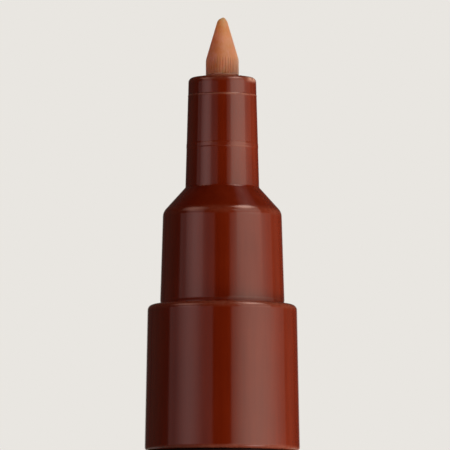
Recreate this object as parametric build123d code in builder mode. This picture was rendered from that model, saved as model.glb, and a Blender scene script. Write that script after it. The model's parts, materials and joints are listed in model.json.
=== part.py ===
from build123d import *
from math import acos, atan2, cos, hypot, pi, radians, sin, sqrt, tan
import os

# A fine-tip paint marker with a valve: pressing the nib opens the valve and lets paint down to it.
# It stands on its cap, which is posted on the tail, as it is kept while the marker is in use.
# Z is the marker's axis, from the cap's foot at zero up to the nib. Lengths are in millimetres,
# angles in degrees, and every radius is measured from the axis.

# Fits
press_gap = 0.02  # between pieces that are pressed into each other
slide_gap = 0.06  # between pieces that slide on each other
overrun = 1.0  # how far a cut runs past the face that it opens

# Nib: a fluted fibre rod with a cone ground on its end
nib_radius = 1.36
nib_cone_height = 3.29  # writing point down to where cone and rod would meet
nib_point_radius = 0.2
nib_crown_radius = 3.0  # rounds the cone into the rod
nib_rod_shown = 1.51  # fluted rod that shows above the guide
nib_flute_count = 36
nib_flute_radius = 0.075
press_travel = 2.5  # how far the nib can be pushed in
nib_stop_gap = 0.5  # left under the nib when it is pushed right in

# Nib guide: the ring on the snout's end, with a sleeve down the snout's bore
guide_sleeve_wall = 0.6
guide_sleeve_length = 5.5
guide_ring_height = 1.51
guide_dome_rise = 0.12
guide_edge_radius = 0.42
guide_mouth_chamfer = 0.12

# Nose: snout, shoulder and the tapered seat that the cap pushes on to, with a skirt into the collar
snout_wall = 0.845  # at the seam under the guide's ring
snout_height = 7.8
snout_draft = 1.6
seam_chamfer = 0.07  # on both edges of the seam
shoulder_height = 1.89
shoulder_width = 1.88
shoulder_root_radius = 0.35
shoulder_crown_radius = 0.7
seat_height = 7.76
seat_draft = 1.7
seat_relief = 0.14  # undercut at the seat's foot, which shows as a dark line
seat_wall = 1.38
ceiling_drop = 0.6  # seat's top edge down to the valve chamber's ceiling
skirt_wall = 0.7
skirt_length = 9.0
bead_height = 0.12  # the skirt's bead snaps into the collar
bead_width = 0.8
bead_drop = 6.0  # ledge down to the bead's middle

# Collar: the wide ring below the seat, with a spigot down the barrel
collar_height = 12.24
collar_draft = 1.12
ledge_width = 1.05
ledge_drop = 0.36  # the ledge falls away outwards
ledge_edge_radius = 0.42
collar_foot_radius = 0.22
spigot_length = 7.0
spigot_chamfer = 0.3

# Seals: rubber rings in the spigots of the collar and the tail plug
seal_cord_radius = 0.3
seal_side_gap = 0.1
seal_inset = 3.0  # barrel's end to the middle of the seal

# Barrel
barrel_wall = 0.9
barrel_length = 90.0
barrel_edge_radius = 0.22

# Tail plug: a cup with a flange, and a post shaped as the seat is, so that the cap fits on both
flange_height = 1.6
flange_edge_radius = 0.25
plug_wall = 0.9
plug_floor = 1.2
post_edge_radius = 0.45

# Valve: rubber seat, stem, spring and housing, stacked below the chamber's ceiling
valve_seat_thickness = 1.0
stem_pin_radius = 0.75
stem_flow_gap = 0.4  # room for paint between the pin and the rubber
stem_lip_height = 0.3  # the conical lip that closes on the rubber
stem_close_gap = 0.04  # between the shut lip and the rubber
stem_head_gap = 0.6  # room for paint between the head and the housing
stem_head_height = 1.2
stem_pilot_height = 1.6  # centres the spring
stem_tail_radius = 0.8
stem_tail_overhang = 0.2  # tail that shows below the housing
housing_wall = 0.85
housing_floor = 1.0
port_count = 4
port_rim = 0.38  # floor left on either side of a port
spring_wire_radius = 0.2
spring_side_gap = 0.2
spring_end_gap = 0.05
spring_height = 7.0
spring_turns = 7

# Mixing ball, loose in the paint
ball_radius = 2.5
ball_gap = 0.05

# Cap, and the soft liner in it that closes on the snout
cap_gap = 0.05  # between the cap's bore and the seat or post
cap_rim_gap = 0.05
cap_draft = 0.6
cap_floor = 1.3
cap_rim_radius = 0.3
cap_foot_radius = 0.8
cap_dish_radius = 3.6
cap_dish_depth = 0.35
cap_flute_count = 30
cap_flute_radius = 0.42
cap_flute_depth = 0.16
cap_flute_length = 11.0
cap_flute_inset = 2.6  # cap's foot up to the flutes
liner_step = 0.12  # the cap's bore narrows here to grip the liner
liner_mouth_gap = 0.4  # post's end down to the liner
liner_flange_height = 2.6
liner_lip = 0.2
liner_wall = 0.8
liner_floor = 0.8
liner_seal_gap = 0.05
nib_end_gap = 0.6  # capped nib's point to the liner's floor

# Radii, worked out from the nib outwards
guide_bore = nib_radius + slide_gap
guide_sleeve_radius = guide_bore + guide_sleeve_wall
snout_bore = guide_sleeve_radius + press_gap
snout_top_radius = snout_bore + snout_wall
snout_base_radius = snout_top_radius + snout_height * tan(radians(snout_draft))
guide_ring_radius = snout_top_radius - guide_ring_height * tan(radians(snout_draft))
seat_top_radius = snout_base_radius + shoulder_width
seat_base_radius = seat_top_radius + seat_height * tan(radians(seat_draft))
chamber_radius = seat_top_radius - seat_wall
skirt_radius = chamber_radius + skirt_wall
collar_bore = skirt_radius + press_gap
collar_top_radius = seat_base_radius + ledge_width
collar_base_radius = collar_top_radius + collar_height * tan(radians(collar_draft))
barrel_radius = collar_base_radius
barrel_bore = barrel_radius - barrel_wall
spigot_radius = barrel_bore - press_gap
seal_ring_radius = barrel_bore - press_gap - seal_cord_radius
seal_groove_radius = seal_ring_radius - seal_cord_radius - press_gap
seal_groove_half = seal_cord_radius + seal_side_gap
cup_radius = seat_top_radius - plug_wall
valve_radius = chamber_radius - press_gap
housing_bore = valve_radius - housing_wall
spring_mean_radius = housing_bore - spring_side_gap - spring_wire_radius
stem_pilot_radius = spring_mean_radius - spring_wire_radius - spring_side_gap
stem_head_radius = housing_bore - stem_head_gap
valve_seat_bore = stem_pin_radius + stem_flow_gap
stem_guide_bore = stem_tail_radius + slide_gap
port_circle_radius = (stem_guide_bore + housing_bore) / 2
port_radius = (housing_bore - stem_guide_bore) / 2 - port_rim
cap_mouth_bore = seat_base_radius + cap_gap
cap_throat_bore = seat_top_radius + cap_gap
cap_bore = cap_throat_bore - liner_step
liner_flange_radius = cap_bore - press_gap
liner_mouth_radius = liner_flange_radius - liner_lip
liner_bore = snout_base_radius + liner_seal_gap
liner_radius = liner_bore + liner_wall

# Heights, worked out from the cap's foot upwards
nib_shown = nib_cone_height + nib_rod_shown
nose_length = seat_height + shoulder_height + snout_height + guide_ring_height + nib_shown
cap_height = nose_length + nib_end_gap + liner_floor + cap_floor
flange_foot = cap_height + cap_rim_gap
barrel_foot = flange_foot + flange_height
barrel_top = barrel_foot + barrel_length
ledge_z = barrel_top + collar_height
seat_top = ledge_z + seat_height
snout_base = seat_top + shoulder_height
seam_z = snout_base + snout_height
ring_top = seam_z + guide_ring_height
nib_tip = ring_top + nib_shown
ceiling_z = seat_top - ceiling_drop
nib_foot = ceiling_z + press_travel + nib_stop_gap
valve_seat_foot = ceiling_z - valve_seat_thickness
stem_lip_top = valve_seat_foot - stem_close_gap
stem_head_top = stem_lip_top - stem_lip_height
stem_head_foot = stem_head_top - stem_head_height
stem_pilot_foot = stem_head_foot - stem_pilot_height
spring_foot = stem_head_foot - spring_end_gap - spring_height
housing_floor_top = spring_foot - spring_end_gap
housing_foot = housing_floor_top - housing_floor
stem_tail_foot = housing_foot - stem_tail_overhang
skirt_foot = ledge_z - skirt_length
bead_z = ledge_z - bead_drop
front_seal_z = barrel_top - seal_inset
tail_seal_z = barrel_foot + seal_inset
collar_foot = barrel_top - spigot_length
plug_top = barrel_foot + spigot_length
post_foot = flange_foot - seat_height
cup_floor_top = post_foot + plug_floor
ball_z = cup_floor_top + ball_gap + ball_radius
ball_travel = stem_tail_foot - press_travel - ball_gap - ball_radius - ball_z
throat_z = cap_height - seat_height
liner_top = throat_z - liner_mouth_gap
liner_foot = cap_floor + press_gap
liner_bore_foot = cap_floor + liner_floor
cap_foot_outer = barrel_radius - cap_height * tan(radians(cap_draft))


with BuildPart() as nib:
    # The cone is the line from the rod's corner that just touches the rounded point.
    point_drop = nib_cone_height - nib_point_radius
    cone_lean = acos(nib_point_radius / hypot(nib_radius, point_drop)) - atan2(point_drop, nib_radius)
    with BuildSketch(Plane.XZ):
        with BuildLine():
            point = TangentArc(
                (0, nib_tip),
                (nib_point_radius * cos(cone_lean), nib_tip - nib_point_radius * (1 - sin(cone_lean))),
                tangent=(1, 0),
            )
            side = FilletPolyline(
                point @ 1,
                (nib_radius, nib_tip - nib_cone_height),
                (nib_radius, nib_foot),
                radius=nib_crown_radius,
            )
            Polyline(side @ 1, (0, nib_foot), point @ 0)
        make_face()
    revolve(axis=Axis.Z)
    with BuildSketch(Plane.XY.offset(nib_foot - overrun)):
        with PolarLocations(nib_radius, nib_flute_count):
            Circle(nib_flute_radius)
    extrude(amount=nib_tip - nib_foot + overrun, mode=Mode.SUBTRACT)

with BuildPart() as nib_guide:
    with BuildSketch(Plane.XZ):
        with BuildLine():
            FilletPolyline(
                (guide_bore, seam_z - guide_sleeve_length),
                (guide_sleeve_radius, seam_z - guide_sleeve_length),
                (guide_sleeve_radius, seam_z),
                (snout_top_radius - seam_chamfer, seam_z),
                (snout_top_radius, seam_z + seam_chamfer),
                (guide_ring_radius, ring_top - guide_dome_rise),
                (guide_bore + guide_mouth_chamfer, ring_top),
                (guide_bore, ring_top - guide_mouth_chamfer),
                radius=5 * [0] + [guide_edge_radius] + 2 * [0],
                close=True,
            )
        make_face()
    revolve(axis=Axis.Z)

with BuildPart() as nose:
    with BuildSketch(Plane.XZ):
        with BuildLine():
            FilletPolyline(
                (snout_bore, ceiling_z),
                (snout_bore, seam_z),
                (snout_top_radius - seam_chamfer, seam_z),
                (snout_top_radius, seam_z - seam_chamfer),
                (snout_base_radius, snout_base),
                (seat_top_radius, seat_top),
                (seat_base_radius, ledge_z + seat_relief),
                (seat_base_radius - seat_relief, ledge_z),
                (skirt_radius, ledge_z),
                (skirt_radius, bead_z + bead_width / 2),
                (skirt_radius + bead_height, bead_z),
                (skirt_radius, bead_z - bead_width / 2),
                (skirt_radius, skirt_foot),
                (chamber_radius, skirt_foot),
                (chamber_radius, ceiling_z),
                radius=4 * [0] + [shoulder_root_radius, shoulder_crown_radius] + 9 * [0],
                close=True,
            )
        make_face()
    revolve(axis=Axis.Z)

with BuildPart() as collar:
    with BuildSketch(Plane.XZ):
        with BuildLine():
            FilletPolyline(
                (collar_bore, ledge_z),
                (seat_base_radius - seat_relief, ledge_z),
                (collar_top_radius, ledge_z - ledge_drop),
                (collar_base_radius, barrel_top),
                (spigot_radius, barrel_top),
                (spigot_radius, front_seal_z + seal_groove_half),
                (seal_groove_radius, front_seal_z + seal_groove_half),
                (seal_groove_radius, front_seal_z - seal_groove_half),
                (spigot_radius, front_seal_z - seal_groove_half),
                (spigot_radius, collar_foot + spigot_chamfer),
                (spigot_radius - spigot_chamfer, collar_foot),
                (collar_bore, collar_foot),
                (collar_bore, bead_z - bead_width / 2 - press_gap),
                (collar_bore + bead_height, bead_z - press_gap),
                (collar_bore + bead_height, bead_z + press_gap),
                (collar_bore, bead_z + bead_width / 2 + press_gap),
                radius=2 * [0] + [ledge_edge_radius, collar_foot_radius] + 12 * [0],
                close=True,
            )
        make_face()
    revolve(axis=Axis.Z)

with BuildPart() as front_seal:
    with BuildSketch(Plane.XZ):
        with Locations((seal_ring_radius, front_seal_z)):
            Circle(seal_cord_radius)
    revolve(axis=Axis.Z)

with BuildPart() as barrel:
    with BuildSketch(Plane.XZ):
        with BuildLine():
            FilletPolyline(
                (barrel_bore, barrel_foot),
                (barrel_radius, barrel_foot),
                (barrel_radius, barrel_top),
                (barrel_bore, barrel_top),
                radius=[0, barrel_edge_radius, barrel_edge_radius, 0],
                close=True,
            )
        make_face()
    revolve(axis=Axis.Z)

with BuildPart() as tail_plug:
    with BuildSketch(Plane.XZ):
        with BuildLine():
            FilletPolyline(
                (0, post_foot),
                (seat_top_radius, post_foot),
                (seat_base_radius, flange_foot),
                (barrel_radius, flange_foot),
                (barrel_radius, barrel_foot),
                (spigot_radius, barrel_foot),
                (spigot_radius, tail_seal_z - seal_groove_half),
                (seal_groove_radius, tail_seal_z - seal_groove_half),
                (seal_groove_radius, tail_seal_z + seal_groove_half),
                (spigot_radius, tail_seal_z + seal_groove_half),
                (spigot_radius, plug_top - spigot_chamfer),
                (spigot_radius - spigot_chamfer, plug_top),
                (cup_radius, plug_top),
                (cup_radius, cup_floor_top),
                (0, cup_floor_top),
                radius=[0, post_edge_radius, 0] + 2 * [flange_edge_radius] + 10 * [0],
                close=True,
            )
        make_face()
    revolve(axis=Axis.Z)

with BuildPart() as tail_seal:
    with BuildSketch(Plane.XZ):
        with Locations((seal_ring_radius, tail_seal_z)):
            Circle(seal_cord_radius)
    revolve(axis=Axis.Z)

with BuildPart() as valve_seat:
    with BuildSketch(Plane.XY.offset(valve_seat_foot)):
        Circle(valve_radius)
        Circle(valve_seat_bore, mode=Mode.SUBTRACT)
    extrude(amount=valve_seat_thickness)

with BuildPart() as valve_stem:
    with BuildSketch(Plane.XZ):
        with BuildLine():
            Polyline(
                (0, nib_foot),
                (stem_pin_radius, nib_foot),
                (stem_pin_radius, stem_head_top),
                (valve_seat_bore, stem_head_top),
                (valve_seat_bore + stem_lip_height, stem_lip_top),
                (stem_head_radius, stem_head_top),
                (stem_head_radius, stem_head_foot),
                (stem_pilot_radius, stem_head_foot),
                (stem_pilot_radius, stem_pilot_foot),
                (stem_tail_radius, stem_pilot_foot),
                (stem_tail_radius, stem_tail_foot),
                (0, stem_tail_foot),
                close=True,
            )
        make_face()
    revolve(axis=Axis.Z)

with BuildPart() as valve_housing:
    with BuildSketch(Plane.XZ):
        with BuildLine():
            Polyline(
                (stem_guide_bore, housing_foot),
                (valve_radius, housing_foot),
                (valve_radius, valve_seat_foot),
                (housing_bore, valve_seat_foot),
                (housing_bore, housing_floor_top),
                (stem_guide_bore, housing_floor_top),
                close=True,
            )
        make_face()
    revolve(axis=Axis.Z)
    with BuildSketch(Plane.XY.offset(housing_foot - overrun)):
        with PolarLocations(port_circle_radius, port_count):
            Circle(port_radius)
    extrude(amount=housing_floor + 2 * overrun, mode=Mode.SUBTRACT)

# The spring's wire follows a helix, drawn as two tangent arcs for each quarter turn.
spring_pitch = (spring_height - 2 * spring_wire_radius) / spring_turns


def wire_point(turn):
    """Where the wire's middle is after this many turns."""
    angle = 2 * pi * turn
    height = spring_foot + spring_wire_radius + spring_pitch * turn
    return Vector(spring_mean_radius * cos(angle), spring_mean_radius * sin(angle), height)


def wire_direction(turn):
    """Which way the wire runs there."""
    angle = 2 * pi * turn
    return Vector(-sin(angle), cos(angle), spring_pitch / (2 * pi * spring_mean_radius)).normalized()


with BuildPart() as valve_spring:
    with BuildLine():
        for quarter in range(4 * spring_turns):
            start, end = wire_point(quarter / 4), wire_point((quarter + 1) / 4)
            leaving, arriving = wire_direction(quarter / 4), wire_direction((quarter + 1) / 4)
            chord = end - start
            bend = 2 * (1 - leaving.dot(arriving))
            along = chord.dot(leaving + arriving)
            reach = (sqrt(along**2 + bend * chord.dot(chord)) - along) / bend
            first_knee, last_knee = start + leaving * reach, end - arriving * reach
            middle = (first_knee + last_knee) / 2
            TangentArc(start, middle, tangent=leaving)
            TangentArc(middle, end, tangent=last_knee - first_knee)
    with BuildSketch(Plane(origin=wire_point(0), z_dir=wire_direction(0))):
        Circle(spring_wire_radius)
    sweep()

with BuildPart() as mixing_ball:
    with Locations((0, 0, ball_z)):
        Sphere(ball_radius)

with BuildPart() as cap:
    with BuildSketch(Plane.XZ):
        with BuildLine():
            FilletPolyline(
                (0, cap_dish_depth),
                (cap_dish_radius - cap_dish_depth, cap_dish_depth),
                (cap_dish_radius, 0),
                (cap_foot_outer, 0),
                (barrel_radius, cap_height),
                (cap_mouth_bore, cap_height),
                (cap_throat_bore, throat_z),
                (cap_throat_bore, liner_top),
                (cap_bore, liner_top),
                (cap_bore, cap_floor),
                (0, cap_floor),
                radius=3 * [0] + [cap_foot_radius, cap_rim_radius] + 6 * [0],
                close=True,
            )
        make_face()
    revolve(axis=Axis.Z)
    with BuildSketch(Plane.XY.offset(cap_flute_inset)):
        with PolarLocations(cap_foot_outer + cap_flute_radius - cap_flute_depth, cap_flute_count):
            Circle(cap_flute_radius)
    extrude(amount=cap_flute_length, mode=Mode.SUBTRACT)

with BuildPart() as cap_liner:
    with BuildSketch(Plane.XZ):
        with BuildLine():
            Polyline(
                (0, liner_foot),
                (liner_radius, liner_foot),
                (liner_radius, liner_top - liner_flange_height),
                (liner_flange_radius, liner_top - liner_flange_height),
                (liner_flange_radius, liner_top),
                (liner_mouth_radius, liner_top),
                (liner_bore, liner_top - (liner_mouth_radius - liner_bore)),
                (liner_bore, liner_bore_foot),
                (0, liner_bore_foot),
                close=True,
            )
        make_face()
    revolve(axis=Axis.Z)

pieces = {
    "nib": nib,
    "nib_guide": nib_guide,
    "nose": nose,
    "collar": collar,
    "front_seal": front_seal,
    "barrel": barrel,
    "tail_plug": tail_plug,
    "tail_seal": tail_seal,
    "valve_seat": valve_seat,
    "valve_stem": valve_stem,
    "valve_housing": valve_housing,
    "valve_spring": valve_spring,
    "mixing_ball": mixing_ball,
    "cap": cap,
    "cap_liner": cap_liner,
}
os.makedirs("parts", exist_ok=True)
for name, piece in pieces.items():
    piece.part.label = name
    export_step(piece.part, f"parts/{name}.step")

# The least gap between the spring's turns is measured on points of the wire, half a turn apart or more.
steps_per_turn = 48
wire = [wire_point(step / steps_per_turn) for step in range(spring_turns * steps_per_turn + 1)]
turn_gaps = [
    (far - near).length - 2 * spring_wire_radius
    for index, near in enumerate(wire)
    for far in wire[index + steps_per_turn // 2:]
]
print(f"marker length {nib_tip:.3f}, barrel radius {barrel_radius:.3f}, ball travel {ball_travel:.3f}")
print(f"least gap between the spring's turns {min(turn_gaps):.3f}")
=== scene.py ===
"""Looks of a paint marker that stands on its posted cap, nib up: brown moulded nose and cap, black barrel.

Sizes are in millimetres. Meshes are in metres, in the CAD frame, with Z along the marker.
"""
import json
from math import cos, pi, radians, sin

import bpy
import numpy as np
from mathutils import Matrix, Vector

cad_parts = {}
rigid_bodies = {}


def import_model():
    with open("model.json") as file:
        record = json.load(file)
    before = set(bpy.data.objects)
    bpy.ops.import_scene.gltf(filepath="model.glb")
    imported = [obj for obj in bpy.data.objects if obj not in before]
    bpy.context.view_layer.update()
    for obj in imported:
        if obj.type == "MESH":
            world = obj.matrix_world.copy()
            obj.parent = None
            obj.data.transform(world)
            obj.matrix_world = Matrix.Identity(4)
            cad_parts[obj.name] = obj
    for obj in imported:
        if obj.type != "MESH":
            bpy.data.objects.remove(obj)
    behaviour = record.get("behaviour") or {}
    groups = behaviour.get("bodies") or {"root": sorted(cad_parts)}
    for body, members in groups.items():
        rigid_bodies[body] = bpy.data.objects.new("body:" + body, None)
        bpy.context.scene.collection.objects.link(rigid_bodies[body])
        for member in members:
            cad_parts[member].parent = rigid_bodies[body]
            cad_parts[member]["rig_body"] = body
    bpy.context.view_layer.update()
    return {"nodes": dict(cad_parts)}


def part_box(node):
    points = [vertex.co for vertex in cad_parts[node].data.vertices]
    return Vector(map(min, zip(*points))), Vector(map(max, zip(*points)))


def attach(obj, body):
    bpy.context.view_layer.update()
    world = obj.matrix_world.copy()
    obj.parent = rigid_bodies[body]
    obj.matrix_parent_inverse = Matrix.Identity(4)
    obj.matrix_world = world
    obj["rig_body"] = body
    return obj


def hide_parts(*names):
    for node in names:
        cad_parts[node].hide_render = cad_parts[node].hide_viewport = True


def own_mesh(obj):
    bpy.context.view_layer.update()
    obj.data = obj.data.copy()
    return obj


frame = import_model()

MM = 0.001


def low(node):
    """Height of a CAD node's lowest point, in millimetres."""
    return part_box(node)[0].z / MM


def high(node):
    """Height of a CAD node's highest point, in millimetres."""
    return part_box(node)[1].z / MM


def middle(node):
    """Height halfway between a CAD node's ends, in millimetres."""
    return (low(node) + high(node)) / 2


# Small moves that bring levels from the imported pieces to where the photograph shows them
barrel_top_move = -0.22
ledge_move = -0.145
crown_move = -0.025
seam_move = -0.01
ring_top_move = 0.04
nib_tip_move = 0.225

# Levels along the marker, from the tail to the nib
cap_rim = high("cap")
post_foot = low("tail_plug")
plug_top = high("tail_plug")
barrel_foot = low("barrel")
tail_seal = middle("tail_seal")
spigot_foot = low("collar")
front_seal = middle("front_seal")
barrel_top = high("barrel") + barrel_top_move
skirt_foot = low("nose")
ceiling = high("valve_seat")
ledge = high("collar") + ledge_move
sleeve_foot = low("nib_guide")
seam = high("nose") + seam_move
ring_top = high("nib_guide") + ring_top_move
nib_foot = low("nib")
nib_tip = high("nib") + nib_tip_move

# Radii and steps that are the part's own
barrel_radius = 6.5025
barrel_bore = 5.6025
spigot_radius = 5.5825
spigot_chamfer = 0.3
groove_radius = 4.9625  # floor of the groove that holds a rubber ring
groove_half = 0.4
collar_bore = 4.323
collar_top_radius = 6.263
seat_base_radius = 5.213
seat_top_radius = 4.983
seat_height = 7.76
snout_base_radius = 3.103
snout_top_radius = 2.885
snout_bore = 2.04
skirt_radius = 4.303
chamber_radius = 3.603
bead_drop = 6.0  # from the ledge down to the bead that snaps into the collar
bead_half = 0.4
bead_height = 0.12
bead_slack = 0.02
guide_bore = 1.42
sleeve_radius = 2.02
ring_radius = 2.843
dome_rise = 0.12
mouth_chamfer = 0.12
flange_height = 1.6
cup_radius = 4.083
plug_floor = 1.2
cap_foot_radius = 6.225
cap_mouth = 5.263
cap_throat = 5.033
cap_bore = 4.913
cap_floor = 1.3
dish_radius = 3.6
dish_depth = 0.35
liner_gap = 0.4
wire_radius = 0.2
spring_turns = 7

# Radii and steps that follow the photograph more closely than the part's
nib_radius = 1.385
nib_cone = 3.593  # from the tip down to where the cone and the rod would meet
shoulder_height = 2.07
ledge_drop = 0.06  # the ledge falls away outwards
seat_relief = 0.04  # the seat's foot is drawn in, which shows as a dark line
relief_height = 0.3
seam_chamfer = 0.02
ring_chamfer = 0.02
barrel_chamfer = 0.3

# Levels that follow from these
bead = ledge - bead_drop
seat_top = ledge + seat_height + crown_move
snout_base = seat_top + shoulder_height
flange_foot = barrel_foot - flange_height
throat = cap_rim - seat_height

# Roundings of corners
TINY = 0.03  # what a mould leaves on an edge that is drawn sharp
SHARP = TINY / 3  # the same on an edge that closes a seam
skirt_rounding = 0.2
bead_rounding = 0.1
relief_rounding = 1.0
crown_rounding = 1.05  # where the seat turns into the shoulder
root_rounding = 0.2  # where the shoulder meets the snout
collar_foot_rounding = 0.32
collar_top_rounding = 0.48
post_rounding = 0.45
flange_rounding = 0.25

ARC_STEPS = 9  # points on a rounded corner
COLUMNS = 256  # points round a plain piece
FLUTE_COLUMNS = 12  # points across one flute and the land beside it
FAR = 99.0  # where a cutter stands that doesn't reach the piece
FRONT = -90  # degrees round the marker to the side that the camera sees


def divided(points, bend, longest, on_axis):
    """The outline in steps no longer than longest, with the bend shared out evenly along each run.

    An outline that closes on itself leaves out its last point, which is its first one again.
    """
    run = np.diff(points, axis=0)
    steps = np.maximum(1, np.ceil(np.linalg.norm(run, axis=1) / longest)).astype(int)
    owner = np.repeat(np.arange(len(steps)), steps)
    share = (np.arange(steps.sum()) - np.repeat(np.cumsum(steps) - steps, steps)) / steps[owner]
    fine = points[owner] + share[:, None] * run[owner]
    wear = bend[owner] + share * np.diff(bend)[owner]
    if on_axis:
        return np.concatenate([fine, points[-1:]]), np.append(wear, bend[-1])
    return fine, wear


def rounded(corners, longest, on_axis=False):
    """Outline through (radius, height, rounding) corners, and how convex it is at each point.

    At a corner whose sides open by twice an angle h, an arc of the rounding R touches both sides
    R / tan(h) from the corner, about a centre R / sin(h) away on the bisector. A point a little outside
    each end of the arc keeps the straight run's shading straight. The outline goes anticlockwise, closed,
    or from axis to axis if on_axis, in steps no longer than longest.
    """
    spare_share, swell_inset = 0.3, 0.08
    corners = np.array(corners, float)
    place, rounding = corners[:, :2], corners[:, 2:]
    back = np.roll(place, 1, axis=0) - place
    ahead = np.roll(place, -1, axis=0) - place
    back /= np.linalg.norm(back, axis=1, keepdims=True)
    ahead /= np.linalg.norm(ahead, axis=1, keepdims=True)
    half = np.arccos(np.clip((back * ahead).sum(1, keepdims=True), -1, 1)) / 2
    reach = rounding / np.tan(half)
    bisector = (back + ahead) / np.linalg.norm(back + ahead, axis=1, keepdims=True)
    centre = place + bisector * rounding / np.sin(half)
    first = (place + back * reach - centre)[:, None]
    last = (place + ahead * reach - centre)[:, None]
    turn = (pi - 2 * half)[:, None]
    share = np.linspace(0, 1, ARC_STEPS)[None, :, None]
    arc = (np.sin((1 - share) * turn) * first + np.sin(share * turn) * last) / np.sin(turn)
    clear = reach + spare_share * reach
    before = (place + back * clear)[:, None]
    after = (place + ahead * clear)[:, None]
    points = np.concatenate([before, centre[:, None] + arc, after], axis=1)
    swell = np.pad(np.sin(pi * np.linspace(swell_inset, 1 - swell_inset, ARC_STEPS)), 1)
    side = np.sign(ahead[:, 0] * back[:, 1] - ahead[:, 1] * back[:, 0])
    bend = side[:, None] * swell[None, :] * np.sin(turn[:, :, 0] / 2)
    if on_axis:
        points = np.concatenate([place[:1], points[1:-1].reshape(-1, 2), place[-1:]])
        bend = np.pad(bend[1:-1].ravel(), 1)
    else:
        points = np.concatenate([points.reshape(-1, 2), points[0, :1]])
        bend = np.append(bend.ravel(), bend[0, 0])
    return divided(points, bend, longest, on_axis)


def angles(columns):
    """Even angles round the Z axis, one for each column."""
    return np.linspace(0, 2 * pi, columns, endpoint=False)


def turned(radius, height, columns):
    """Points at angle a round the Z axis: (radius cos a, radius sin a, height), in rows by columns."""
    radius, height, angle = np.broadcast_arrays(radius, height, angles(columns))
    return np.stack([radius * np.cos(angle), radius * np.sin(angle), height], axis=-1)


def off_angle(angle, degrees):
    """Angle from a place round the marker, which is given in degrees: between -pi and pi."""
    return (angle - radians(degrees) + pi) % (2 * pi) - pi


def bell(value, centre, width, power=2):
    """Bell curve: 1 at the centre and 1 / e a width away from it, with a flatter top at a higher power."""
    return np.exp(-(((value - centre) / width) ** power))


def waves(angle, level, sines):
    """A level plus sines of the angle, each given as its size, its count round the marker and its start."""
    return sum((size * np.sin(count * angle + start) for size, count, start in sines), level)


def cutter(angle, count, centre, bite):
    """Distance from the axis to the near side of evenly spaced round cutters, or FAR between them.

    A cutter of radius bite stands at radius centre; at an angle d from its middle, its near side is at
    centre cos d - sqrt(bite^2 - (centre sin d)^2).
    """
    pitch = 2 * pi / count
    off = (angle + pitch / 2) % pitch - pitch / 2
    room = bite**2 - (centre * np.sin(off)) ** 2
    return np.where(room > 0, centre * np.cos(off) - np.sqrt(np.maximum(room, 0)), FAR)


def lesser(a, b, softness):
    """Soft minimum: -s log(exp(-a / s) + exp(-b / s)), which rounds the edge where the two meet."""
    return -softness * np.logaddexp(-a / softness, -b / softness)


def piece(name, points, on_axis, node, slot, material, **attributes):
    """Makes a mesh of rows by columns of points, which replaces the CAD node and rides on its body.

    Rows close on themselves, or end on the axis in single points if on_axis; columns always close.
    Attributes are arrays of one number per point that the material reads by name.
    """
    rows, columns = points.shape[:2]

    def in_order(values):
        """One number per vertex, row by row, with the two points on the axis last."""
        values = np.broadcast_to(values, (rows, columns))
        return np.concatenate([values[1:-1].ravel(), values[[0, -1], 0]]) if on_axis else values.ravel()

    vertices = np.stack([in_order(points[..., axis]) for axis in range(3)], axis=-1) * MM
    grid = np.arange((rows - 2 * on_axis) * columns).reshape(-1, columns)
    near = grid[:-1] if on_axis else grid
    far = grid[1:] if on_axis else np.roll(grid, -1, axis=0)
    quads = np.stack([near, np.roll(near, -1, 1), np.roll(far, -1, 1), far], axis=-1)
    faces = quads.reshape(-1, 4).tolist()
    if on_axis:
        first = np.full(columns, len(vertices) - 2)
        last = np.full(columns, len(vertices) - 1)
        faces += np.stack([first, np.roll(grid[0], -1), grid[0]], axis=-1).tolist()
        faces += np.stack([grid[-1], np.roll(grid[-1], -1), last], axis=-1).tolist()
    mesh = bpy.data.meshes.new(name)
    mesh.from_pydata(vertices.tolist(), [], faces)
    mesh.polygons.foreach_set("use_smooth", np.ones(len(mesh.polygons), bool))
    for key, values in attributes.items():
        attribute = mesh.attributes.new(key, "FLOAT", "POINT")
        attribute.data.foreach_set("value", in_order(values).astype(np.float32))
    mesh.materials.append(material)
    mesh.update()
    made = bpy.data.objects.new(name, mesh)
    bpy.context.scene.collection.objects.link(made)
    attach(made, frame["nodes"][node]["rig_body"])
    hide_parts(node)
    return made


# Materials

MIX_SHARE, MIX_A, MIX_B, MIX_COLOUR = 0, 6, 7, 2  # sockets of a Mix node that mixes colours


def linear(code):
    """Linear RGBA of an sRGB hex colour."""
    channel = np.array([int(code[place:place + 2], 16) for place in (1, 3, 5)]) / 255
    channel = np.where(channel <= 0.04045, channel / 12.92, ((channel + 0.055) / 1.055) ** 2.4)
    return (*channel.tolist(), 1.0)


def add(tree, kind, inputs=None, ramp=None, **settings):
    """Adds a node with its settings.

    Inputs are values, or the sockets that feed them. Ramp is the two stops of a colour ramp, each as its
    place and its hex colour.
    """
    node = tree.nodes.new("ShaderNode" + kind)
    for name, value in settings.items():
        setattr(node, name, value)
    for name, value in (inputs or {}).items():
        if isinstance(value, bpy.types.NodeSocket):
            tree.links.new(value, node.inputs[name])
        else:
            node.inputs[name].default_value = value
    if ramp:
        for stop, (place, code) in zip(node.color_ramp.elements, ramp):
            stop.position, stop.color = place, linear(code)
    return node


def new_material(name):
    """A material, its empty node tree and the Object coordinates in it, which are in metres."""
    material = bpy.data.materials.new(name)
    material.use_nodes = True
    tree = material.node_tree
    tree.nodes.clear()
    return material, tree, add(tree, "TexCoord").outputs["Object"]


def per_metre(size):
    """Scale of a pattern whose features are this many millimetres across."""
    return 1 / (size * MM)


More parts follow.
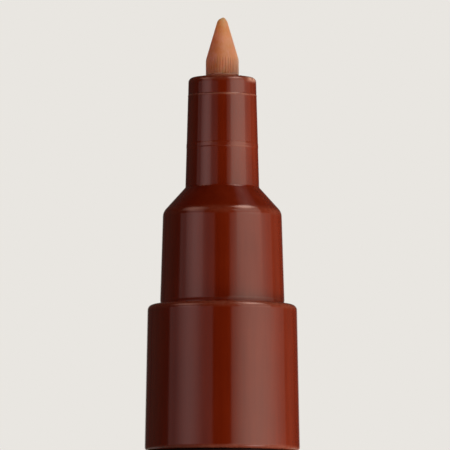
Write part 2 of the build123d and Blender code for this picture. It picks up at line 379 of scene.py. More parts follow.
def moulded_brown_polypropylene():
    """Polypropylene with brown pigment, injection moulded in a polished mould.

    The pigment is slightly uneven and drawn out along the flow, and the gloss is soft and a little wavy.
    Edges are paler where they wear. The same pale colour paints a highlight on the snout's lip, which is
    partly wear there, and highlights on its ring mark. Paint that has dried on it is paler still, and that
    colour also paints a highlight on the guide ring's edge.
    """
    material, tree, where = new_material("moulded_brown_polypropylene")
    cloud = add(tree, "TexNoise", {"Vector": where, "Scale": per_metre(4), "Detail": 3})
    drawn = add(tree, "Mapping", {"Vector": where, "Scale": (1, 1, 0.06)})
    flow = add(tree, "TexNoise", {"Vector": drawn.outputs[0], "Scale": per_metre(0.5), "Detail": 2})
    uneven = add(tree, "Math", {0: cloud.outputs["Fac"], 1: flow.outputs["Fac"]}, operation="ADD")
    share = add(tree, "MapRange", {"Value": uneven.outputs[0], "From Min": 0.7, "From Max": 1.3})
    pigment = add(tree, "ValToRGB", {"Fac": share.outputs[0]}, ramp=[(0, "#721e05"), (1, "#7d2408")])
    wear_glint = add(tree, "Attribute", attribute_name="edge_wear")
    scuff = add(tree, "TexNoise", {"Vector": where, "Scale": per_metre(0.3), "Detail": 4})
    wear_glint_share = add(
        tree,
        "Math",
        {0: wear_glint.outputs["Fac"], 1: scuff.outputs["Fac"]},
        operation="MULTIPLY",
        use_clamp=True,
    )
    # Pale colour: wear on edges, and painted highlights on the snout's lip and ring mark
    colour = add(
        tree,
        "Mix",
        {MIX_SHARE: wear_glint_share.outputs[0], MIX_A: pigment.outputs[0], MIX_B: linear("#a8654f")},
        data_type="RGBA",
    )
    # Paler still: dried paint at the guide ring's mouth, and a painted highlight on the ring's edge
    dried = add(tree, "Attribute", attribute_name="dried_paint")
    painted = add(
        tree,
        "Mix",
        {MIX_SHARE: dried.outputs["Fac"], MIX_A: colour.outputs[MIX_COLOUR], MIX_B: linear("#eeb49c")},
        data_type="RGBA",
    )
    gloss = add(
        tree,
        "MapRange",
        {"Value": flow.outputs["Fac"], "From Min": 0.3, "From Max": 0.7, "To Min": 0.1, "To Max": 0.15},
    )
    peel = add(tree, "TexNoise", {"Vector": where, "Scale": per_metre(0.6), "Detail": 1})
    bump = add(tree, "Bump", {"Height": peel.outputs["Fac"], "Strength": 0.3, "Distance": 0.003 * MM})
    surface = add(
        tree,
        "BsdfPrincipled",
        {
            "Base Color": painted.outputs[MIX_COLOUR],
            "Roughness": gloss.outputs[0],
            "Normal": bump.outputs[0],
            "IOR": 1.49,
        },
    )
    add(tree, "OutputMaterial", {"Surface": surface.outputs[0]})
    return material


def satin_black_polypropylene():
    """Polypropylene with carbon black, moulded in a blasted mould: satin, with faint handling marks."""
    material, tree, where = new_material("satin_black_polypropylene")
    smudge = add(tree, "TexNoise", {"Vector": where, "Scale": per_metre(9), "Detail": 3})
    drawn = add(tree, "Mapping", {"Vector": where, "Scale": (1, 1, 0.03)})
    hair = add(tree, "TexNoise", {"Vector": drawn.outputs[0], "Scale": per_metre(0.35), "Detail": 3})
    colour = add(tree, "ValToRGB", {"Fac": hair.outputs["Fac"]}, ramp=[(0.35, "#161414"), (0.7, "#1e1b1a")])
    gloss = add(
        tree,
        "MapRange",
        {"Value": smudge.outputs["Fac"], "From Min": 0.3, "From Max": 0.7, "To Min": 0.2, "To Max": 0.3},
    )
    # A blasted mould leaves a grain of about 0.1 mm, which is drawn coarser so that it shows
    grain = add(tree, "TexNoise", {"Vector": where, "Scale": per_metre(0.25), "Detail": 2})
    bump = add(tree, "Bump", {"Height": grain.outputs["Fac"], "Strength": 0.4, "Distance": 0.004 * MM})
    surface = add(
        tree,
        "BsdfPrincipled",
        {
            "Base Color": colour.outputs[0],
            "Roughness": gloss.outputs[0],
            "Normal": bump.outputs[0],
            "IOR": 1.49,
        },
    )
    add(tree, "OutputMaterial", {"Surface": surface.outputs[0]})
    return material


def bonded_nib_fibre():
    """Polyester fibres, bonded with resin and ground: matt, streaked lengthwise, stained by paint and
    darker on the lit side as painted shade.
    """
    material, tree, where = new_material("bonded_nib_fibre")
    drawn = add(tree, "Mapping", {"Vector": where, "Scale": (1, 1, 0.12)})
    # Real fibres are about 0.03 mm thick, too fine to show, so they are drawn three times as coarse
    fibre = add(tree, "TexNoise", {"Vector": drawn.outputs[0], "Scale": per_metre(0.09), "Detail": 3})
    blot = add(tree, "TexNoise", {"Vector": where, "Scale": per_metre(0.8), "Detail": 2})
    uneven = add(tree, "Math", {0: fibre.outputs["Fac"], 1: blot.outputs["Fac"]}, operation="ADD")
    share = add(tree, "MapRange", {"Value": uneven.outputs[0], "From Min": 0.7, "From Max": 1.3})
    stain = add(tree, "ValToRGB", {"Fac": share.outputs[0]}, ramp=[(0.1, "#dc9a62"), (0.9, "#e3aa8b")])
    # Dark colour: paint stain towards the guide, darker flutes, and painted shade on the nib's lit right
    # side
    soaked = add(tree, "Attribute", attribute_name="soaked")
    colour = add(
        tree,
        "Mix",
        {MIX_SHARE: soaked.outputs["Fac"], MIX_A: stain.outputs[0], MIX_B: linear("#7c3e2a")},
        data_type="RGBA",
    )
    bump = add(tree, "Bump", {"Height": fibre.outputs["Fac"], "Strength": 0.5, "Distance": 0.01 * MM})
    surface = add(
        tree,
        "BsdfPrincipled",
        {
            "Base Color": colour.outputs[MIX_COLOUR],
            "Roughness": 0.75,
            "Normal": bump.outputs[0],
            "Subsurface Weight": 1.0,
            "Subsurface Radius": (1.0, 0.6, 0.4),
            "Subsurface Scale": 4.0 * MM,
            "Sheen Weight": 0.1,
        },
    )
    add(tree, "OutputMaterial", {"Surface": surface.outputs[0]})
    return material


def clouded(name, size, detail, stops, roughness, finish):
    """A material whose colour and roughness both follow one noise, of a size in millimetres.

    Stops are its two colours, roughness its least and most, and finish the shader's other values.
    """
    material, tree, where = new_material(name)
    cloud = add(tree, "TexNoise", {"Vector": where, "Scale": per_metre(size), "Detail": detail})
    colour = add(tree, "ValToRGB", {"Fac": cloud.outputs["Fac"]}, ramp=stops)
    least, most = roughness
    gloss = add(tree, "MapRange", {"Value": cloud.outputs["Fac"], "To Min": least, "To Max": most})
    surface = add(
        tree,
        "BsdfPrincipled",
        {"Base Color": colour.outputs[0], "Roughness": gloss.outputs[0], **finish},
    )
    add(tree, "OutputMaterial", {"Surface": surface.outputs[0]})
    return material


def undyed_polypropylene():
    """Polypropylene without pigment, moulded thin: milky, with a faint cloud in it and a soft gloss."""
    milky = {
        "IOR": 1.49,
        "Subsurface Weight": 0.3,
        "Subsurface Radius": (1.0, 1.0, 0.9),
        "Subsurface Scale": 0.4 * MM,
    }
    stops = [(0.3, "#d8d4c9"), (0.7, "#e6e3da")]
    return clouded("undyed_polypropylene", 1.5, 3, stops, (0.3, 0.45), milky)


def soft_polyethylene():
    """Low-density polyethylene, moulded soft: waxy and milky, duller than the cap around it."""
    waxy = {
        "IOR": 1.51,
        "Subsurface Weight": 0.4,
        "Subsurface Radius": (1.0, 1.0, 0.95),
        "Subsurface Scale": 0.5 * MM,
    }
    stops = [(0.3, "#dfdbd0"), (0.7, "#ece9e1")]
    return clouded("soft_polyethylene", 2, 3, stops, (0.42, 0.58), waxy)


def moulded_nitrile_rubber():
    """Black nitrile rubber, compression moulded: dull, with a little grey bloom."""
    stops = [(0.35, "#1a1a1a"), (0.75, "#2a2a2b")]
    return clouded("moulded_nitrile_rubber", 1, 4, stops, (0.55, 0.75), {"IOR": 1.52})


def drawn_steel_wire():
    """Stainless steel wire, drawn through a die: bright, with a slight straw tint and fine dull specks."""
    stops = [(0.3, "#b9b4aa"), (0.7, "#d2cfc8")]
    return clouded("drawn_steel_wire", 0.12, 3, stops, (0.2, 0.38), {"Metallic": 1.0})


def polished_ball_steel():
    """Bearing steel, lapped and polished: a mirror with a few soft dull patches left by paint."""
    stops = [(0.45, "#d6d6d4"), (0.75, "#c3beb8")]
    return clouded("polished_ball_steel", 1.6, 3, stops, (0.06, 0.2), {"Metallic": 1.0})


brown_plastic = moulded_brown_polypropylene()
black_plastic = satin_black_polypropylene()
nib_fibre = bonded_nib_fibre()
spring_wire = drawn_steel_wire()
seal_rubber = moulded_nitrile_rubber()
natural_plastic = undyed_polypropylene()
carried_over = {
    "front_seal": seal_rubber,
    "tail_seal": seal_rubber,
    "valve_seat": seal_rubber,
    "valve_stem": natural_plastic,
    "valve_housing": natural_plastic,
    "mixing_ball": polished_ball_steel(),
    "cap_liner": soft_polyethylene(),
}
for kept_node, finish in carried_over.items():
    kept_materials = frame["nodes"][kept_node].data.materials
    kept_materials.clear()
    kept_materials.append(finish)


# Nose, with a faint ring that the mould's joint leaves round the snout and a lip at the seam

mark_drop = 4.33  # from the seam down to the ring
mark_height = 0.015
mark_below = 0.12  # the ring's flat top runs from this far below to this far above its level
mark_above = 0.15
mark_slope = 0.1
mark_rounding = 0.2
lip_height = 0.012
lip_foot_drop = 0.2  # from the seam down to the lip's foot and to the ends of its flat face
lip_low_drop = 0.11
lip_high_drop = 0.05
lip_rounding = 0.1

ring_mark = seam - mark_drop
mark_low = ring_mark - mark_below
mark_high = ring_mark + mark_above
lip_foot = seam - lip_foot_drop


def snout_radius(height):
    """Radius of the tapered snout at a height."""
    return np.interp(height, [snout_base, seam - seam_chamfer], [snout_base_radius, snout_top_radius])


nose_corners = [
    (chamber_radius, skirt_foot, TINY),
    (skirt_radius, skirt_foot, skirt_rounding),
    (skirt_radius, bead - bead_half, bead_rounding),
    (skirt_radius + bead_height, bead, bead_rounding),
    (skirt_radius, bead + bead_half, bead_rounding),
    (skirt_radius, ledge, TINY),
    (seat_base_radius - seat_relief, ledge, SHARP),
    (seat_base_radius, ledge + relief_height, relief_rounding),
    (seat_top_radius, seat_top, crown_rounding),
    (snout_base_radius, snout_base, root_rounding),
    (snout_radius(mark_low - mark_slope), mark_low - mark_slope, mark_rounding),
    (snout_radius(mark_low) + mark_height, mark_low, mark_rounding),
    (snout_radius(mark_high) + mark_height, mark_high, mark_rounding),
    (snout_radius(mark_high + mark_slope), mark_high + mark_slope, mark_rounding),
    (snout_radius(lip_foot), lip_foot, lip_rounding),
    (snout_top_radius + lip_height, seam - lip_low_drop, lip_rounding),
    (snout_top_radius + lip_height, seam - lip_high_drop, lip_rounding / 2),
    (snout_top_radius - seam_chamfer, seam, SHARP),
    (snout_bore, seam, TINY),
    (snout_bore, ceiling, TINY),
    (chamber_radius, ceiling, TINY),
]


def nose_shell():
    """The nose's outline carried round, with pale places on the lip and on the ring mark's two edges.

    Each pale place is a bell curve over the height. On the lip it is partly wear and partly a painted
    highlight, times an uneven sum of sines of the angle, which is strongest at the front and has a gap on
    either side of it. The ring's edges carry painted highlights: a little all round, and more over bell
    curves of the angle, to the right and left of the front.
    """
    lip_wear_glint_drop, lip_wear_glint_width, lip_level = 0.07, 0.07, 0.9
    lip_sines = [(-0.5, 1, 0), (0.2, 5, 0.6), (0.15, 11, 0)]
    gap_angle, gap_width, gap_depth = 0.52, 0.12, 0.8
    upper_rise, lower_drop, edge_width = 0.18, 0.15, 0.06
    right_degrees, right_width = -60, 0.3
    left_degrees, left_width = -114, 0.22
    upper_glint, lower_glint, glint_all_round = 0.7, 0.8, 0.1
    outer_margin = 0.1
    outline, wear = rounded(nose_corners, longest=1.0)
    radius, height = outline[:, :1], outline[:, 1:]
    angle = angles(COLUMNS)
    outside = radius > snout_top_radius - outer_margin
    # The lip's pale band is partly wear and partly a painted highlight, strongest at the front
    gaps = gap_depth * bell(np.abs(off_angle(angle, FRONT)), gap_angle, gap_width)
    uneven = waves(angle, lip_level, lip_sines) * (1 - gaps)
    lip = bell(height, seam - lip_wear_glint_drop, lip_wear_glint_width) * outside
    # Painted highlights on the ring mark's edges, right and left of the front
    upper_edge = bell(height, ring_mark + upper_rise, edge_width) * outside
    lower_edge = bell(height, ring_mark - lower_drop, edge_width) * outside
    right = bell(off_angle(angle, right_degrees), 0, right_width, power=4)
    left = bell(off_angle(angle, left_degrees), 0, left_width, power=4)
    wear_glint = np.maximum(wear[:, None], 0) + lip * uneven
    wear_glint += upper_edge * (upper_glint * right + upper_glint * left + glint_all_round)
    wear_glint += lower_edge * (lower_glint * right + glint_all_round)
    points = turned(radius, height, COLUMNS)
    piece("nose_shell", points, False, "nose", "brown_plastic", brown_plastic, edge_wear=wear_glint)


nose_shell()


# Plain turned pieces: collar, barrel and tail plug


def plain_turning(name, corners, node, material=brown_plastic, slot="brown_plastic", on_axis=False):
    """A plain turned piece: its outline, rounded at the corners and carried round the axis."""
    outline, wear = rounded(corners, longest=2.0, on_axis=on_axis)
    points = turned(outline[:, :1], outline[:, 1:], COLUMNS)
    piece(name, points, on_axis, node, slot, material, edge_wear=wear[:, None])


def seal_groove(centre):
    """Corners of a spigot's groove for a rubber ring, from below."""
    return [
        (spigot_radius, centre - groove_half, TINY),
        (groove_radius, centre - groove_half, TINY),
        (groove_radius, centre + groove_half, TINY),
        (spigot_radius, centre + groove_half, TINY),
    ]


collar_corners = [
    (collar_bore, spigot_foot, TINY),
    (spigot_radius - spigot_chamfer, spigot_foot, TINY),
    (spigot_radius, spigot_foot + spigot_chamfer, TINY),
    *seal_groove(front_seal),
    (spigot_radius, barrel_top, TINY),
    (barrel_radius, barrel_top, collar_foot_rounding),
    (collar_top_radius, ledge - ledge_drop, collar_top_rounding),
    (seat_base_radius - seat_relief, ledge, TINY),
    (collar_bore, ledge, TINY),
    (collar_bore, bead + bead_half + bead_slack, bead_rounding),
    (collar_bore + bead_height, bead + bead_slack, bead_rounding / 2),
    (collar_bore + bead_height, bead - bead_slack, bead_rounding / 2),
    (collar_bore, bead - bead_half - bead_slack, bead_rounding),
]
plain_turning("collar_ring", collar_corners, "collar")

barrel_corners = [
    (barrel_bore, barrel_foot, TINY),
    (barrel_radius - barrel_chamfer, barrel_foot, TINY),
    (barrel_radius, barrel_foot + barrel_chamfer, TINY),
    (barrel_radius, barrel_top - barrel_chamfer, TINY),
    (barrel_radius - barrel_chamfer, barrel_top, TINY),
    (barrel_bore, barrel_top, TINY),
]
plain_turning("barrel_tube", barrel_corners, "barrel", black_plastic, "black_plastic")

plug_corners = [
    (0, post_foot, TINY),
    (seat_top_radius, post_foot, post_rounding),
    (seat_base_radius, flange_foot, TINY),
    (barrel_radius, flange_foot, flange_rounding),
    (barrel_radius, barrel_foot, flange_rounding),
    (spigot_radius, barrel_foot, TINY),
    *seal_groove(tail_seal),
    (spigot_radius, plug_top - spigot_chamfer, TINY),
    (spigot_radius - spigot_chamfer, plug_top, TINY),
    (cup_radius, plug_top, TINY),
    (cup_radius, post_foot + plug_floor, TINY),
    (0, post_foot + plug_floor, TINY),
]
plain_turning("tail_plug_cup", plug_corners, "tail_plug", on_axis=True)


# Pieces with more on them than an outline


def guide_ring():
    """The ring's outline carried round, with a low rim of dried paint at its mouth and a smeared patch on
    its edge.

    The rim lifts the dome by a bell curve over the radius, times a sum of sines of the angle that stays
    above zero and is largest near the front. The patch swells the edge by bell curves over the radius, the
    height and the angle, times a product of sines that streaks it. The patch's pale colour is a painted
    highlight.
    """
    sleeve_rounding, edge_rounding, edge_inset = 0.1, 0.42, 0.01
    rim_radius, rim_width, rim_reach, rim_height = 1.66, 0.18, 0.3, 0.2
    rim_level, rim_limit, rim_paint = 0.65, 0.9, 0.8
    rim_sines = [(0.2, 3, 1), (0.2, 7, 2.2), (0.15, 13, 0)]
    rim_degrees, rim_behind, rim_in_front = -78, 0.4, 1.2
    smear_radius, smear_width, smear_drop, smear_reach = 2.74, 0.14, 0.3, 0.26
    smear_degrees, smear_angle = -25, 0.3
    smear_height, smear_glint_share = 0.03, 0.9
    streak_level, streak_size, streaks_round, streaks_up = 0.75, 0.25, 23, 9
    outline, wear = rounded(
        [
            (guide_bore, sleeve_foot, TINY),
            (sleeve_radius, sleeve_foot, sleeve_rounding),
            (sleeve_radius, seam, TINY),
            (snout_top_radius - ring_chamfer, seam, SHARP),
            (snout_top_radius - edge_inset, seam + ring_chamfer, SHARP),
            (ring_radius, ring_top - dome_rise, edge_rounding),
            (guide_bore + mouth_chamfer, ring_top, TINY),
            (guide_bore, ring_top - mouth_chamfer, TINY),
        ],
        longest=0.12,
    )
    radius, height = outline[:, :1], outline[:, 1:]
    angle = angles(COLUMNS)
    near_front = np.clip(np.cos(angle - radians(rim_degrees)), 0, 1) ** 3
    uneven = np.clip(waves(angle, rim_level, rim_sines), 0, None) * (rim_behind + rim_in_front * near_front)
    on_top = height > ring_top - rim_reach
    rim = bell(radius, rim_radius, rim_width) * np.minimum(uneven, rim_limit) * on_top
    # Painted highlight: the smeared patch on the ring's right edge is coloured pale where a glint shows
    edge = bell(radius, smear_radius, smear_width, power=4)
    edge = edge * bell(height, ring_top - smear_drop, smear_reach, power=4)
    streaks = streak_level + streak_size * np.sin(streaks_round * angle) * np.cos(streaks_up * height)
    smear_glint = edge * bell(off_angle(angle, smear_degrees), 0, smear_angle, power=4) * streaks
    points = turned(radius + smear_height * smear_glint, height + rim_height * rim, COLUMNS)
    piece(
        "nib_guide_ring",
        points,
        False,
        "nib_guide",
        "brown_plastic",
        brown_plastic,
        edge_wear=wear[:, None],
        dried_paint=np.clip(smear_glint_share * smear_glint + rim_paint * rim, 0, 1),
    )


guide_ring()


def fluted_nib():
    """A fluted rod with a point ground on it.

    The radius at each angle and height is the soft lesser of the ground outline and the fluted rod, whose
    radius is cut by round cutters at even angles. A slanting plane then trims the point, as writing wears
    it. Paint has stained the fibre towards the guide, the fibre is darker in the flutes, and the right
    side, where the light falls, is darkened as painted shade.
    """
    flutes, depth, softness, plain_foot = 36, 0.055, 0.01, 0.1
    foot_rounding, cone_rounding = 0.05, 1.6
    point_radius, point_height, point_rounding = 0.42, 0.32, 0.45
    tip_radius, tip_rounding = 0.18, 0.15
    wear_slope, wear_centre = 0.5, 0.05
    soak_levels, soak_shares = [3.5, 4.8], [0.0, 0.17]  # below the tip, and how far soaked there
    side_levels, side_shares, side_turn = [2.9, 3.7], [0.56, 0.6], 0.3
    flute_share = 0.14
    columns = FLUTE_COLUMNS * flutes
    outline = rounded(
        [
            (0, nib_foot, TINY),
            (nib_radius, nib_foot, foot_rounding),
            (nib_radius, nib_tip - nib_cone, cone_rounding),
            (point_radius, nib_tip - point_height, point_rounding),
            (tip_radius, nib_tip, tip_rounding),
            (0, nib_tip, TINY),
        ],
        longest=0.06,
        on_axis=True,
    )[0]
    radius, height = outline[:, :1], outline[:, 1:]
    angle = angles(columns)
    rod = cutter(angle, flutes, nib_radius, depth)
    fluted = np.minimum(lesser(radius, rod, softness), radius)
    fluted = np.where(height > nib_foot + plain_foot, fluted, radius)
    points = turned(fluted, height, columns)
    worn_plane = nib_tip + wear_slope * (points[..., 0] - wear_centre)
    points[..., 2] = np.minimum(points[..., 2], worn_plane)
    groove = np.clip((radius - fluted) / depth, 0, 1)
    below_tip = nib_tip - height
    paint = np.interp(below_tip, soak_levels, soak_shares)
    # Painted shade: the right side, where the light falls, is made darker
    facing_right = np.clip(np.cos(angle + side_turn), 0, 1) ** 2
    painted_side_shade = np.interp(below_tip, side_levels, side_shares) * facing_right
    soaked = paint + painted_side_shade + flute_share * groove
    piece("nib_point", points, True, "nib", "nib_fibre", nib_fibre, soaked=soaked)


fluted_nib()


def fluted_cap():
    """The cap's outline carried round, with grip flutes of round cutters that run out towards both ends.

    The radius is the soft lesser of the outline's and the cutters' near side; beyond the flutes' ends the
    cutters back away along a quarter circle.
    """
    flutes, bite, depth, softness = 30, 0.42, 0.16, 0.015
    flute_foot, flute_top, run_out = 2.6, 13.6, 0.5
    dish_rounding, dish_edge_rounding, foot_rounding = 0.1, 0.15, 0.8
    rim_rounding, mouth_rounding, outer_margin = 0.3, 0.1, 0.3
    land_edge, land_rub = 0.04, 0.15
    columns = FLUTE_COLUMNS * flutes
    outline, wear = rounded(
        [
            (0, dish_depth, TINY),
            (dish_radius - dish_depth, dish_depth, dish_rounding),
            (dish_radius, 0, dish_edge_rounding),
            (cap_foot_radius, 0, foot_rounding),
            (barrel_radius, cap_rim, rim_rounding),
            (cap_mouth, cap_rim, mouth_rounding),
            (cap_throat, throat, TINY),
            (cap_throat, throat - liner_gap, TINY),
            (cap_bore, throat - liner_gap, TINY),
            (cap_bore, cap_floor, TINY),
            (0, cap_floor, TINY),
        ],
        longest=0.25,
        on_axis=True,
    )
    radius, height = outline[:, :1], outline[:, 1:]
    past = np.maximum(flute_foot + run_out - height, height - flute_top + run_out) / run_out
    away = bite * (1 - np.sqrt(1 - np.clip(past, 0, 1) ** 2))
    cut = cutter(angles(columns), flutes, cap_foot_radius + bite - depth, bite) + away
    outside = radius > cap_mouth + outer_margin
    shaped = np.where(outside, np.minimum(lesser(radius, cut, softness), radius), radius)
    land = np.clip(1 - (radius - shaped) / land_edge, 0, 1) * outside
    wear_glint = wear[:, None] + land_rub * land
    points = turned(shaped, height, columns)
    piece("cap_shell", points, True, "cap", "brown_plastic", brown_plastic, edge_wear=wear_glint)


fluted_cap()


def coiled_spring():
    """A round wire bent along a helix.

    The wire's outline is one of radius against distance along the wire. At a distance s the middle of the
    wire has gone round by s / length of all its turns and has climbed by as large a share of its rise. The
    wire's section there is a circle square to the helix, in the plane of the outward direction and the one
    across it.
    """
    end_rounding, section_columns = 0.05, 16
    foot, top = low("valve_spring"), high("valve_spring")
    coil_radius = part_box("valve_spring")[1].x / MM - wire_radius
    rise = top - foot - 2 * wire_radius
    around = 2 * pi * coil_radius * spring_turns
    length = np.hypot(around, rise)
    outline = rounded(
        [
            (0, 0, TINY),
            (wire_radius, 0, end_rounding),
            (wire_radius, length, end_rounding),
            (0, length, TINY),
        ],
        longest=0.3,
        on_axis=True,
    )[0]
    share = outline[:, 1] / length
    turn = 2 * pi * spring_turns * share
    level = 0 * turn
    outward = np.stack([np.cos(turn), np.sin(turn), level], axis=-1)
    forward = np.stack([-np.sin(turn), np.cos(turn), level + rise / around], axis=-1) * around / length
    across = np.cross(forward, outward)
    climb = np.stack([level, level, foot + wire_radius + rise * share], axis=-1)
    wire_middle = coil_radius * outward + climb
    angle = angles(section_columns)[:, None]
    section = np.cos(angle) * outward[:, None] + np.sin(angle) * across[:, None]
    points = wire_middle[:, None] + outline[:, :1, None] * section
    spring = piece("valve_spring_coil", points, True, "valve_spring", "spring_wire", spring_wire)
    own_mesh(spring)


coiled_spring()


# Stage: paper floor, pale backdrop, softboxes and a camera. Its sizes are in metres.

BACKDROP = linear("#e9e6e1")
FLOOR_HALF = 4.0
LAMP_DISTANCE = 0.5
CAMERA_DISTANCE = 0.6
nose_middle = Vector((0, 0, 136 * MM))  # the lamps are turned to it
view_middle = Vector((0.226 * MM, 0, 136.87 * MM))  # the camera is turned to it


def matt_paper():
    """Matt white paper: slightly uneven fibre. Away from the marker it fades into the backdrop's colour."""
    material, tree, where = new_material("matt_paper")
    fibre = add(tree, "TexNoise", {"Vector": where, "Scale": per_metre(1.2), "Detail": 4})
    colour = add(tree, "ValToRGB", {"Fac": fibre.outputs["Fac"]}, ramp=[(0.3, "#e2e3e4"), (0.7, "#e9eaeb")])
    paper = add(tree, "BsdfDiffuse", {"Color": colour.outputs[0]})
    glow = add(tree, "Emission", {"Color": BACKDROP, "Strength": 1.0})
    distance = add(tree, "VectorMath", {0: where}, operation="LENGTH").outputs["Value"]
    far = add(
        tree,
        "MapRange",
        {"Value": distance, "From Min": 0.05, "From Max": 0.5, "To Min": 0.15, "To Max": 1.0},
        interpolation_type="SMOOTHSTEP",
    )
    blend = add(tree, "MixShader", {0: far.outputs[0], 1: paper.outputs[0], 2: glow.outputs[0]})
    add(tree, "OutputMaterial", {"Surface": blend.outputs[0]})
    material.cycles.emission_sampling = "NONE"
    return material


floor_mesh = bpy.data.meshes.new("floor")
floor_corners = [(x * FLOOR_HALF, y * FLOOR_HALF, 0) for x, y in ((-1, -1), (1, -1), (1, 1), (-1, 1))]
floor_mesh.from_pydata(floor_corners, [], [(0, 1, 2, 3)])
floor_mesh.materials.append(matt_paper())
floor = bpy.data.objects.new("floor", floor_mesh)
bpy.context.scene.collection.objects.link(floor)
# Some lamps stand lower than the paper, so it takes the marker's shadow and does nothing to the marker
floor.visible_shadow = floor.visible_diffuse = floor.visible_glossy = False


def studio_world():
    """A dim warm room, in front of a pale backdrop that shows to the camera.

    Gloss mirrors the backdrop too, straight behind the marker. The room is a little lighter behind the
    marker and, in gloss alone, below it, where the paper is.
    """
    world = bpy.data.worlds.new("studio")
    world.use_nodes = True
    tree = world.node_tree
    tree.nodes.clear()
    ray = add(tree, "LightPath").outputs
    direction = add(tree, "TexCoord").outputs["Generated"]
    behind = add(tree, "VectorMath", {0: direction, 1: (0, 1, 0)}, operation="DOT_PRODUCT").outputs["Value"]
    straight = add(tree, "MapRange", {"Value": behind, "From Min": 0.95, "From Max": 0.99})
    mirrored = add(tree, "Math", {0: straight.outputs[0], 1: ray["Is Glossy Ray"]}, operation="MULTIPLY")
    direct = add(
        tree,
        "Math",
        {0: ray["Is Camera Ray"], 1: ray["Is Transmission Ray"]},
        operation="MAXIMUM",
    )
    seen = add(tree, "Math", {0: direct.outputs[0], 1: mirrored.outputs[0]}, operation="MAXIMUM")
    backdrop = add(tree, "Background", {"Color": BACKDROP, "Strength": 1.0})
    faint = add(
        tree,
        "MapRange",
        {"Value": behind, "From Min": 0.3, "From Max": 0.8, "To Min": 0.01, "To Max": 0.05},
    )
    slope = add(tree, "SeparateXYZ", {"Vector": direction}).outputs["Z"]
    downward = add(
        tree,
        "MapRange",
        {"Value": slope, "From Min": -0.1, "From Max": -0.25, "To Min": 0.0, "To Max": 0.2},
    )
    below = add(tree, "Math", {0: downward.outputs[0], 1: ray["Is Glossy Ray"]}, operation="MULTIPLY")
    level = add(tree, "Math", {0: faint.outputs[0], 1: below.outputs[0]}, operation="ADD")
    room = add(tree, "Background", {"Color": linear("#ffe6d4"), "Strength": level.outputs[0]})
    mixed = add(tree, "MixShader", {0: seen.outputs[0], 1: room.outputs[0], 2: backdrop.outputs[0]})
    add(tree, "OutputWorld", {"Surface": mixed.outputs[0]})
    return world


bpy.context.scene.world = studio_world()


def softbox(
    name,
    azimuth,
    elevation,
    size,
    radiance,
    rim,
    spot=(0.5, 0.5),
    fade=(0.6, 0.76),
    tint="#ffffff",
    lights=True,
    mirrors=True,
):
    """A rectangular lamp turned to the nose, brightest at a spot on its diffuser and dimmer at the rim.

    Azimuth is from the camera's side towards +X. Spot and fade are shares of the panel's width and height:
    the radiance falls along a smooth step from its full value at the spot to rim times that at one fade
    away. A panel of a given radiance needs that times pi times its area in watts. A lamp with lights off
    shows only as a highlight, and one with mirrors off only as light.
    """
    lamp = bpy.data.lights.new(name, "AREA")
    lamp.shape = "RECTANGLE"
    lamp.size, lamp.size_y = size
    lamp.energy = radiance * pi * size[0] * size[1]
    lamp.use_nodes = True
    tree = lamp.node_tree
    tree.nodes.clear()
    place = add(tree, "NewGeometry").outputs["Parametric"]
    off = add(tree, "VectorMath", {0: place, 1: (*spot, 0)}, operation="SUBTRACT").outputs[0]
    scaled = add(tree, "VectorMath", {0: off, 1: (1 / fade[0], 1 / fade[1], 0)}, operation="MULTIPLY")
    away = add(tree, "VectorMath", {0: scaled.outputs[0]}, operation="LENGTH")
    strength = add(
        tree,
        "MapRange",
        {"Value": away.outputs["Value"], "To Min": 1.0, "To Max": rim},
        interpolation_type="SMOOTHSTEP",
    )
    glow = add(tree, "Emission", {"Color": linear(tint), "Strength": strength.outputs[0]})
    add(tree, "OutputLight", {"Surface": glow.outputs[0]})
    made = bpy.data.objects.new(name, lamp)
    a, e = radians(azimuth), radians(elevation)
    out = Vector((sin(a) * cos(e), -cos(a) * cos(e), sin(e)))
    made.location = nose_middle + out * LAMP_DISTANCE
    made.rotation_euler = out.to_track_quat("Z", "Y").to_euler()
    made.visible_camera = False
    made.visible_diffuse = lights
    made.visible_glossy = mirrors
    bpy.context.scene.collection.objects.link(made)
    return made


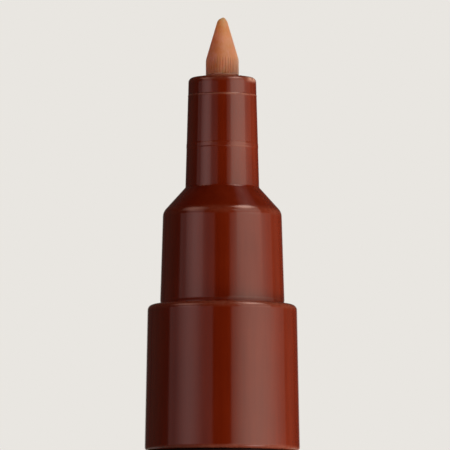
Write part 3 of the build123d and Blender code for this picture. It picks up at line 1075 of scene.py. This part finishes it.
# key_right and fill_left make the broad highlights, hot_right and high_left those on rounded edges
softbox("key_right", 61, -18, (1.2, 0.64), 2.3, 0.16, spot=(0.433, 0.76), fade=(0.55, 0.31), tint="#fff4e2")
softbox("low_right", 60, -43, (0.42, 0.3), 4.4, 0.3, mirrors=False)
softbox("side_right", 110, -52, (0.7, 0.5), 2.4, 0.2, mirrors=False)
softbox("fill_left", -51, 3, (0.74, 0.15), 1.43, 0.32, fade=(0.34, 0.87), tint="#ffcfc9")
softbox("mid_right", 54, 26, (0.5, 0.32), 1.9, 0.55, spot=(0.5, 0.65), tint="#fff2e4")
softbox("high_right", 92, 62, (0.4, 0.2), 0.35, 0.1)
softbox("mid_left", -55, 19, (0.32, 0.22), 1.0, 0.5, tint="#ffcfc9")
softbox("high_left", -66, 41, (0.46, 0.3), 2.3, 0.05, tint="#ffcab5", lights=False)
softbox("strip_right", 55, -33, (0.3, 0.36), 2.6, 0.1, lights=False)
softbox("strip_back", 181, -21, (0.14, 0.2), 3.6, 0.2)
softbox("spill_right", 116, 4, (0.4, 0.34), 0.17, 0.2, tint="#ffeacc")
softbox("spill_left", -108, 4, (0.5, 0.34), 0.07, 0.3, tint="#ffdcc0")
softbox("back_right", 165, -32, (0.45, 0.3), 2.0, 0.0, fade=(0.5, 0.5))
softbox("back_left", -135, -32, (0.3, 0.3), 0.3, 0.0, fade=(0.5, 0.5))
softbox("hot_right", 67, 57, (0.34, 0.24), 8.0, 0.2, tint="#ffdcca", lights=False)
softbox("side_fill", 95, 35, (0.4, 0.4), 1.3, 1.0, mirrors=False)
softbox("back_fill", 180, 30, (0.6, 0.6), 0.75, 1.0, mirrors=False)

# The paper has a lamp of its own, which gives the marker's soft shadow
paper_alone = bpy.data.collections.new("paper_alone")
paper_alone.objects.link(floor)
paper_lamp = softbox("paper_lamp", 115, 55, (0.14, 0.14), 40, 1.0)
paper_lamp.light_linking.receiver_collection = paper_alone

# The camera looks from the front and slightly upwards, as in the photograph
camera_data = bpy.data.cameras.new("camera")
camera_data.sensor_width = 36
camera_data.lens = 572.8
camera_data.clip_end = 20
camera = bpy.data.objects.new("camera", camera_data)
camera_elevation = radians(-4.4)
to_camera = Vector((0, -cos(camera_elevation), sin(camera_elevation)))
camera.location = view_middle + to_camera * CAMERA_DISTANCE
camera.rotation_euler = to_camera.to_track_quat("Z", "Y").to_euler()
bpy.context.scene.collection.objects.link(camera)
bpy.context.scene.camera = camera
bpy.context.scene.view_settings.view_transform = "Standard"
